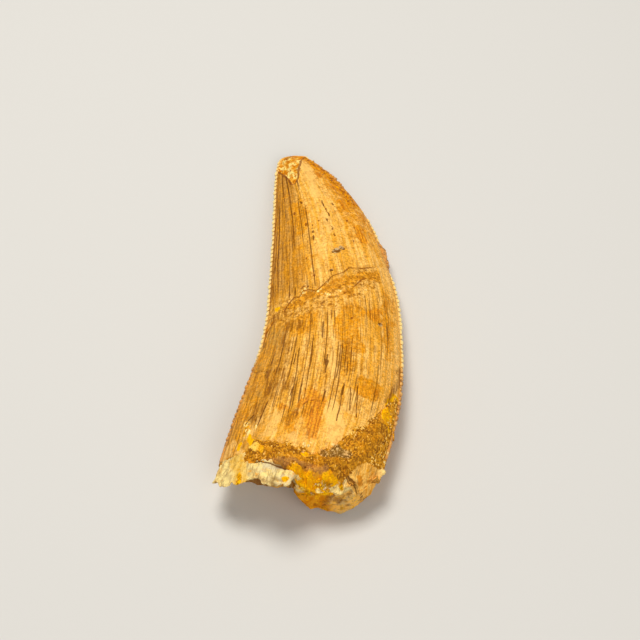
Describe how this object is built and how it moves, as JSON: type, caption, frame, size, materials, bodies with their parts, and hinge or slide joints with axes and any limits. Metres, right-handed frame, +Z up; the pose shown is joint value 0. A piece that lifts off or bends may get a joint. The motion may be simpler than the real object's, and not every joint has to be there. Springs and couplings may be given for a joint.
{
  "type": "fossil theropod tooth",
  "caption": "Fossil blade-shaped dinosaur tooth lying on its side: recurved crown with saw edges, worn tip, mended crack and a broken root crusted with cemented sand.",
  "frame": {"origin": "centre of the bounding box at its lowest level, on the surface the tooth lies on", "axes": "+Y from the broken root towards the tip, +X to the convex mesial edge, +Z up, out of the face that shows when the tooth lies on its side"},
  "size_m": [0.0208, 0.0506, 0.0093],
  "materials": {
    "fossil_enamel": "silky mineralised enamel, tan to amber with fine dark lengthwise cracks; chalky pale root remnant",
    "cemented_sand": "matt granular ochre and olive-brown sand, cemented"
  },
  "bodies": {
    "root": {"tooth": "fossil_enamel", "matrix_crust": "cemented_sand"}
  },
  "joints": []
}
